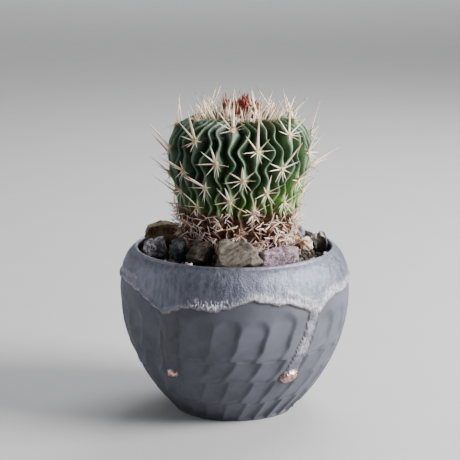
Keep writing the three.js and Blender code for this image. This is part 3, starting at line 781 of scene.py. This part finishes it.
def blade(start, direction, across, length, width, thickness, curl):
    """A tapered, flattened, slightly curved blade: its points, faces and distances along it."""
    s = np.linspace(0, 1, BLADE_RINGS)[:, None]
    lift = normalised(np.cross(across, direction))
    centre = start + direction * length * s + lift * curl * length * s * s
    taper = np.clip(1 - s**2.2, 0, 1) * 0.86 + 0.14 * (1 - s)
    turn = np.arange(BLADE_SIDES) * 2 * np.pi / BLADE_SIDES
    ring = np.cos(turn)[:, None] * across * width / 2 + np.sin(turn)[:, None] * lift * thickness / 2
    points = (centre[:-1, None] + taper[:-1, None] * ring).reshape(-1, 3)
    points = np.concatenate([points, centre[-1:], centre[:1]])
    rings = BLADE_RINGS - 1
    faces = [face[::-1] for face in tube_faces(rings, BLADE_SIDES)]
    faces += pole_faces(rings * BLADE_SIDES, (rings - 1) * BLADE_SIDES, BLADE_SIDES, True)
    faces += pole_faces(rings * BLADE_SIDES + 1, 0, BLADE_SIDES, False)
    along = np.r_[np.repeat(s[:-1, 0], BLADE_SIDES), 1, 0]
    return points, faces, along


def add_blade(soup, start, direction, facing, length, width, curl, **values):
    """A spine whose flat side faces that way, and which is about half as thick as it is wide."""
    across = normalised(np.cross(direction, facing))
    thickness = SPINE_FLATNESS * width
    points, faces, along = blade(start, direction, across, length, width, thickness, curl)
    soup.add(points, faces, along=along, **values)


def areole_frame(t, azimuth):
    """The middle of an areole on its rib's edge, and its directions: side, up the rib, and out."""
    radius, height, out_r, out_z = (float(v) for v in stem_place(t))
    around = polar(azimuth, 1.0, 0.0)
    out = normalised(np.array([around[0] * out_r, around[1] * out_r, out_z]))
    side = np.array([-around[1], around[0], 0.0])
    up = np.cross(out, side)
    middle = polar(azimuth, radius, height) + out * 0.7
    middle[0] += stem_axis(height)
    return middle, side, up, out, radius


# Each spine of a cluster: angle from straight up the rib, rise above the skin, length, width.
CLUSTER = (
    (0, 34, 14.5, 1.4), (38, 27, 10, 0.7), (-42, 27, 11, 0.75), (82, 20, 6.6, 0.5), (-90, 20, 8.4, 0.58),
    (126, 22, 6.2, 0.45), (-132, 22, 6.8, 0.48), (160, 24, 7, 0.42), (-168, 24, 6.2, 0.42),
)
UPRIGHT = 80  # the rise of all spines at the middle of the crown


def add_cluster(soup, pads, index, random):
    middle, side, up, out, radius = areole_frame(AREOLE_T[index], AREOLE_AZIMUTH[index])
    height = AREOLE_HEIGHT[index]
    youth = float(1 - smoothstep(8, 29, radius)) if AREOLE_T[index] < 0.3 else 0.0
    low = smoothstep(106, 90, height)
    size = 0.85 + 0.15 * smoothstep(0, 12, index) - 0.18 * low
    for around, rise, length, width in CLUSTER:
        angle = np.radians(around + random.normal(0, 10))
        tilt = np.radians(rise + (UPRIGHT - rise) * youth + random.normal(0, 7))
        along_skin = up * math.cos(angle) + side * math.sin(angle)
        direction = along_skin * math.cos(tilt) + out * math.sin(tilt)
        across = normalised(np.cross(direction, out + 0.02 * side))
        reach = length * size * random.uniform(0.78, 1.15)
        wide = width * (1 - 0.15 * youth) * (1 - 0.25 * low) * random.uniform(0.85, 1.1)
        curl = random.normal(0.02, 0.035)
        points, faces, along = blade(middle - out * 0.4, direction, across, reach, wide, wide * 0.48, curl)
        fresh = max(youth, 0.35 * random.random())
        soup.add(points, faces, along=along, youth=fresh, tone=random.uniform(0.2, 1))
    add_pad(pads, middle, side, up, out, 1.4 * size, random)


def icosphere(divisions):
    made = bmesh.new()
    bmesh.ops.create_icosphere(made, subdivisions=divisions, radius=1)
    points = np.array([v.co[:] for v in made.verts])
    faces = [tuple(v.index for v in face.verts) for face in made.faces]
    made.free()
    return points, faces


BALL = icosphere(3)
ROUGH_BALL = icosphere(1)


def add_pad(pads, middle, side, up, out, radius, random):
    """A woolly cushion at the foot of a cluster."""
    points, faces = BALL
    tufted = points * (1 + 0.22 * rough(points * 2 + random.uniform(0, 40), 0.8, 2))[:, None]
    axes = np.stack([side * 0.82, up * 1.1, out * 0.72])
    pads.add(middle - out * 0.25 * radius + radius * tufted @ axes, faces)


def make_spines():
    random = np.random.default_rng(21)
    spines, pads = Soup(), Soup()
    for index in range(2, len(AREOLE_T)):
        if AREOLE_HEIGHT[index] > LIVE_FOOT:
            add_cluster(spines, pads, index, random)
    spines.piece("spines", spine_look(), "cactus_skin")
    pads.piece("areole_pads", felt_look("areole_felt", (0.82, 0.66, 0.4), (0.46, 0.29, 0.1)), "cactus_skin")


CROWN_X = float(stem_axis(126))
CROWN_SPINES = 110


def make_crown_spines():
    """The crowd of young upright spines round the middle of the crown."""
    random = np.random.default_rng(5)
    soup = Soup()
    for _ in range(CROWN_SPINES):
        radius = 3 + 18 * random.random() ** 0.8
        azimuth = random.uniform(0, 360)
        if radius < 9 and abs(turn_between(azimuth, 5)) < 60:
            continue
        start = polar(azimuth, radius, 125.5 + 0.16 * radius)
        start[0] += CROWN_X
        lean = np.radians(4 + radius * 1.5 + random.normal(0, 8))
        twist = azimuth + random.normal(0, 25)
        direction = polar(twist, math.sin(lean), math.cos(lean))
        facing = [random.normal(), random.normal(), 0.2]
        length = random.uniform(6, 12)
        width = random.uniform(0.6, 1.4)
        curl = random.normal(0, 0.05)
        youth = random.uniform(0.5, 1)
        tone = random.uniform(0.3, 1)
        add_blade(soup, start, direction, facing, length, width, curl, youth=youth, tone=tone)
    soup.piece("crown_spines", spine_look(), "cactus_skin")


LIVE_FOOT = 90  # clusters lower than this are dead
OLD_TOP = 92  # dead spines stand on areoles lower than this
OLD_CROWDED = 83  # and more of them on areoles lower than this
LOOSE_OLD_SPINES = 1250


def make_old_spines():
    """The dead spines on the corky foot: old clusters pressed flat, and loose spines between them."""
    random = np.random.default_rng(8)
    soup = Soup()
    places = []
    for t, azimuth, height in zip(AREOLE_T, AREOLE_AZIMUTH, AREOLE_HEIGHT):
        if height < OLD_TOP:
            places += [(t, azimuth, 1.0)] * (13 if height > OLD_CROWDED else 18)
    for _ in range(LOOSE_OLD_SPINES):
        places.append((0.755 - 0.205 * random.random() ** 1.1, random.uniform(0, 360), 1.7))
    for t, azimuth, spread in places:
        middle, side, up, out, _ = areole_frame(t, azimuth)
        angle = random.uniform(0, 2 * np.pi)
        tilt = np.radians(random.uniform(0, 46))
        direction = (up * math.cos(angle) + side * math.sin(angle)) * math.cos(tilt) + out * math.sin(tilt)
        length = random.uniform(3.0, 6.8) * (0.8 if direction[2] < -0.3 else 1)
        width = random.uniform(0.3, 0.66)
        start = middle + out * random.uniform(-1, spread)
        curl = random.normal(0, 0.09)
        facing = out + 0.02 * side
        add_blade(soup, start, direction, facing, length, width, curl, tone=random.random())
    soup.piece("old_spines", dead_spine_look(), "cactus_skin")


# ---- crown wool and dried flowers

CROWN_TUFTS = 26


def make_crown_wool():
    """The crown's dome of wool, with loose tufts."""
    random = np.random.default_rng(14)
    soup = Soup()
    axes = np.eye(3)
    lumps = [(0, 0, 6.4, 0.42)]
    for _ in range(CROWN_TUFTS):
        lumps.append((random.uniform(0, 360), random.uniform(2, 8), random.uniform(1.2, 2.6), 0.7))
    points, faces = BALL
    for azimuth, radius, size, flat in lumps:
        middle = polar(azimuth, radius, 126.3 + 0.1 * radius)
        middle[0] += CROWN_X
        tufted = points * (1 + 0.2 * rough(points * 2 + random.uniform(0, 40), 0.7, 3))[:, None]
        soup.add(middle + size * tufted * (axes[0] + axes[1] + flat * axes[2]), faces)
    soup.piece("crown_wool", felt_look("crown_felt", (0.8, 0.72, 0.6), (0.5, 0.37, 0.24)), "cactus_skin")


# Each withered flower: azimuth and distance from the crown's middle, height, lean outwards, and tone, from
# 0 for red to 1 for tan.
FLOWERS = (
    (18, 3.4, 13.4, 4, 0.0), (-70, 5.6, 12.8, 8, 0.85), (62, 5.6, 10.5, 10, 0.5), (150, 3.5, 10, 6, 0.2),
    (-150, 4.8, 9, 9, 0.75),
)


def make_flowers():
    random = np.random.default_rng(33)
    soup = Soup()
    for azimuth, distance, height, lean, tone in FLOWERS:
        foot = polar(azimuth, distance, 126.5)
        foot[0] += CROWN_X
        for petal in range(20):
            around = petal * 137.5
            outer = 0.3 + 0.7 * (petal / 19)
            start = foot + polar(around, 1.6 * outer, 0.0)
            tilt = np.radians(lean)
            direction = polar(azimuth, math.sin(tilt), math.cos(tilt)) + polar(around, 0.13 * outer, 0.0)
            direction = normalised(direction + 0.06 * random.normal(size=3))
            across = normalised(np.cross(direction, polar(around, 1.0, 0.0)))
            length = height * random.uniform(0.72, 1.0)
            width = random.uniform(1.5, 2.6)
            curl = random.normal(-0.03, 0.1)
            points, faces, along = blade(start, direction, across, length, width, 0.4, curl)
            crumple = np.stack([noise(points, 2.2, seed) for seed in (40, 41, 42)], -1)
            mixed = np.clip(tone + random.normal(0, 0.15), 0, 1)
            soup.add(points + 0.85 * crumple, faces, along=along, tone=mixed)
    soup.piece("dried_flowers", petal_look(), "cactus_skin")


# ---- stones, soil and mesh

# Each stone's look: dark and light tones, accent colour, and settings.
STONE_LOOKS = {
    "slate_slab": (
        (0.045, 0.036, 0.028), (0.15, 0.135, 0.12), (0.2, 0.145, 0.085), {"strata": True, "vein": 0.4},
    ),
    "brown_slate": (
        (0.018, 0.014, 0.012), (0.06, 0.048, 0.038), (0.2, 0.12, 0.06), {"strata": True, "speck": 0.2},
    ),
    "porphyry_wedge": (
        (0.055, 0.03, 0.042), (0.22, 0.155, 0.18), (0.5, 0.42, 0.44),
        {"speck": 0.7, "vein": 0.6, "patch": 2.0},
    ),
    "charcoal_stone": ((0.018, 0.019, 0.023), (0.055, 0.058, 0.066), (0.2, 0.21, 0.22), {"vein": 0.3}),
    "veined_rock": ((0.07, 0.06, 0.08), (0.2, 0.175, 0.21), (0.62, 0.6, 0.62), {"vein": 0.8}),
    "ochre_rock": ((0.05, 0.034, 0.018), (0.23, 0.16, 0.085), (0.5, 0.38, 0.22), {"speck": 0.75}),
    "pink_pebble": ((0.3, 0.25, 0.26), (0.55, 0.47, 0.48), (0.7, 0.66, 0.66), {}),
    "tan_pebble": ((0.3, 0.17, 0.06), (0.6, 0.42, 0.2), (0.75, 0.6, 0.4), {"gloss": 0.4}),
    "quartz_chip": ((0.35, 0.22, 0.12), (0.72, 0.58, 0.42), (0.85, 0.78, 0.68), {"vein": 0.5}),
    "lilac_shard": ((0.16, 0.15, 0.2), (0.36, 0.34, 0.4), (0.55, 0.54, 0.6), {}),
    "grey_shard": ((0.2, 0.19, 0.19), (0.46, 0.45, 0.44), (0.66, 0.65, 0.64), {"speck": 0.7}),
    "dark_stone_back": ((0.04, 0.032, 0.027), (0.13, 0.11, 0.09), (0.3, 0.24, 0.18), {}),
    "grey_stone_back": ((0.14, 0.135, 0.13), (0.34, 0.33, 0.31), (0.55, 0.53, 0.5), {"speck": 0.5}),
    "rust_stone_back": ((0.12, 0.055, 0.03), (0.32, 0.17, 0.1), (0.5, 0.34, 0.22), {"strata": True}),
    "pale_stone_back": ((0.32, 0.3, 0.27), (0.58, 0.55, 0.5), (0.72, 0.7, 0.66), {"vein": 0.4}),
    "grey_pebble": ((0.13, 0.125, 0.125), (0.3, 0.29, 0.29), (0.48, 0.47, 0.46), {}),
    "black_pebble": (
        (0.006, 0.006, 0.007), (0.02, 0.02, 0.022), (0.07, 0.07, 0.075), {"gloss": 0.9, "speck": 0.15},
    ),
    "tan_pebble_back": ((0.28, 0.2, 0.12), (0.5, 0.4, 0.27), (0.66, 0.58, 0.45), {}),
    "dark_pebble_back": ((0.035, 0.03, 0.028), (0.12, 0.105, 0.09), (0.25, 0.22, 0.18), {}),
}
# The pebbles that share a look, and that look.
STONE_LOOK_OF = {
    **{"black_pebble_" + where: "black_pebble" for where in ("front", "right", "back", "far")},
    **{"grey_pebble_" + where: "grey_pebble" for where in ("front", "right", "left")},
    "tan_pebble_left": "tan_pebble_back",
}
LAYERED = {"slate_slab", "brown_slate", "rust_stone_back"}
NOT_STONES = {"pot", "soil", "cactus", "drainage_mesh"}


def make_stone(node, slot, look):
    """The plain stone with its edges broken and its faces roughened."""
    made = bmesh.new()
    made.from_mesh(frame["nodes"][node].data)
    bmesh.ops.remove_doubles(made, verts=made.verts, dist=1e-6)
    bmesh.ops.dissolve_limit(made, angle_limit=0.02, verts=made.verts, edges=made.edges)
    glossy = look.startswith("black")
    size = max(Vector(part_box(node)[1]) - Vector(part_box(node)[0])) / MM
    rounding = (0.09 if glossy else 0.018) * size * MM
    bmesh.ops.bevel(made, geom=made.edges, offset=rounding, segments=2, profile=0.6,
                    affect="EDGES", clamp_overlap=True)
    bmesh.ops.triangulate(made, faces=made.faces)
    cuts = 0.45 * MM
    for _ in range(5):
        long_edges = [edge for edge in made.edges if edge.calc_length() > 2 * cuts]
        if not long_edges:
            break
        bmesh.ops.subdivide_edges(made, edges=long_edges, cuts=1, use_grid_fill=True)
        bmesh.ops.triangulate(made, faces=made.faces)
    made.normal_update()
    points = np.array([v.co[:] for v in made.verts]) / MM
    normals = np.array([v.normal[:] for v in made.verts])
    faces = [tuple(v.index for v in face.verts) for face in made.faces]
    made.free()
    strength = 0.12 if glossy else 0.7
    relief = strength * rough(points, 0.28 * size, 4, 50) + 0.1 * strength * rough(points, 0.7, 2, 55)
    if node in LAYERED:
        layers = points * np.array([0.25, 0.25, 1.5]) + 0.4 * points[:, [1, 2, 0]] * 0.1
        relief = relief + 0.4 * np.round(2 * noise(layers, 1.5, 60)) / 2
    points = points + normals * (relief - 0.25 * strength)[:, None]
    piece = new_piece(node + "_detailed", points, faces, look_of(look), slot, smooth=True)
    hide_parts(node)


_looks = {}


def look_of(name):
    if name not in _looks:
        dark, light, accent, settings = STONE_LOOKS[name]
        _looks[name] = stone_look(name, dark, light, accent, **settings)
    return _looks[name]


def make_stones():
    for entry in frame["record"]["subparts"]:
        node = entry["node"]
        if node not in NOT_STONES:
            make_stone(node, entry["material_slot"], STONE_LOOK_OF.get(node, node))


SOIL_TOP = ((43.5, 65.5), (24, 71), (18, 71))


def soil_height(radius):
    radii, heights = np.array(SOIL_TOP)[::-1].T
    return np.interp(radius, radii, heights)


def make_soil():
    """The soil's body with a rough top."""
    low, high = (np.array(corner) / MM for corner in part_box("soil"))
    base = low[2]
    columns = 160
    wall = bezier((45.6, 51), (45.1, 27), (31.2, 11.3), (27, base + 0.6), 24)
    shoulder = bezier((43.2, 65.4), (44.4, 62), (45.6, 57), (45.6, 51), 8)
    radii = np.linspace(17, 43.2, 44)
    top = np.stack([radii, soil_height(radii) - 0.35], -1)
    profile = np.concatenate([top, shoulder[1:], wall[1:]])
    azimuth = np.arange(columns)[None, :] * 360 / columns
    points = polar(azimuth, profile[:, :1], profile[:, 1:])
    lumps = rough(points, 2.4, 3, 70) * 0.5
    points[: len(top), :, 2] += lumps[: len(top)] * np.where(radii < 42.5, 1, 0)[:, None]
    flat = points.reshape(-1, 3)
    flat = np.concatenate([flat, [[0, 0, 60], [0, 0, base]]])
    faces = tube_faces(len(profile), columns)
    faces += pole_faces(len(flat) - 2, 0, columns, True)
    faces += pole_faces(len(flat) - 1, (len(profile) - 1) * columns, columns, False)
    tone = np.random.default_rng(2).uniform(0, 0.6, len(flat))
    piece = new_piece("soil_body", flat, faces, soil_look(), "grit_soil", tone=tone)
    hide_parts("soil")


GRAINS = 2600


def make_grit():
    """Loose grains on the soil."""
    random = np.random.default_rng(4)
    soup = Soup()
    points, faces = ROUGH_BALL
    for _ in range(GRAINS):
        radius = math.sqrt(random.uniform(22**2, 42.3**2))
        size = 0.35 + 1.25 * random.random() ** 2.2
        azimuth = random.uniform(0, 360)
        radius = min(radius, 42.6 - size)
        middle = polar(azimuth, radius, soil_height(radius) - 0.1 + 0.35 * size)
        shape = points * (1 + 0.3 * random.uniform(-1, 1, (len(points), 1))) * random.uniform(0.6, 1.2, 3)
        angle = random.uniform(0, np.pi)
        cosine, sine = math.cos(angle), math.sin(angle)
        spin = np.array([[cosine, -sine, 0], [sine, cosine, 0], [0, 0, 1]])
        soup.add(middle + size * shape @ spin, faces, tone=random.random())
    soup.piece("soil_grit", soil_look(), "grit_soil", smooth=False)


def paint_mesh():
    drainage = frame["nodes"]["drainage_mesh"]
    look = mesh_look()
    drainage.data.materials.clear()
    drainage.data.materials.append(look)


# ---- floor, light and camera


def make_floor():
    mesh = bpy.data.meshes.new("floor")
    half = 6.0
    corners = [(-half, -half, 0), (half, -half, 0), (half, half, 0), (-half, half, 0)]
    mesh.from_pydata(corners, [], [(0, 1, 2, 3)])
    look = Look("floor", Roughness=0.7, Specular_IOR_Level=0.2)
    look.set("Base Color", look.mix(look.noise(30, 4), (0.4, 0.4, 0.41), (0.44, 0.44, 0.45)))
    mesh.materials.append(look.material)
    floor = bpy.data.objects.new("floor", mesh)
    bpy.context.scene.collection.objects.link(floor)


def add_area_light(name, place, size, energy, colour=(1, 1, 1), aim=(0, 0, 0.08)):
    light = bpy.data.lights.new(name, "AREA")
    light.shape = "SQUARE"
    light.size = size
    light.energy = energy
    light.color = colour
    made = bpy.data.objects.new(name, light)
    made.location = place
    made.rotation_euler = (Vector(aim) - Vector(place)).to_track_quat("-Z", "Y").to_euler()
    bpy.context.scene.collection.objects.link(made)


def make_light():
    add_area_light("window_right", (0.74, -0.17, 0.42), 0.45, 28, (1, 0.99, 0.98))
    add_area_light("fill_left", (-0.8, 0.12, 0.32), 0.5, 2.2, (0.95, 0.97, 1))
    add_area_light("sky_back", (0.25, 0.55, 0.7), 0.6, 9, (1, 1, 1))
    add_area_light("far_floor", (0, 2.6, 1.6), 1.6, 45, (1, 1, 1), (0, 3, 0))
    world = bpy.data.worlds.new("studio")
    world.use_nodes = True
    background = world.node_tree.nodes["Background"]
    background.inputs["Color"].default_value = (0.93, 0.94, 0.96, 1)
    background.inputs["Strength"].default_value = 0.185
    bpy.context.scene.world = world


def make_camera():
    place = Vector((-0.002, -0.766, 0.247))
    aim = Vector((-0.002, 0, 0.0784))
    data = bpy.data.cameras.new("camera")
    data.lens = 141
    data.sensor_width = 36
    camera = bpy.data.objects.new("camera", data)
    camera.location = place
    camera.rotation_euler = (aim - place).to_track_quat("-Z", "Y").to_euler()
    bpy.context.scene.collection.objects.link(camera)
    bpy.context.scene.camera = camera


make_camera()
make_light()
make_floor()
make_pot()
make_stem()
make_spines()
make_crown_spines()
make_old_spines()
make_crown_wool()
make_flowers()
make_stones()
make_soil()
make_grit()
paint_mesh()
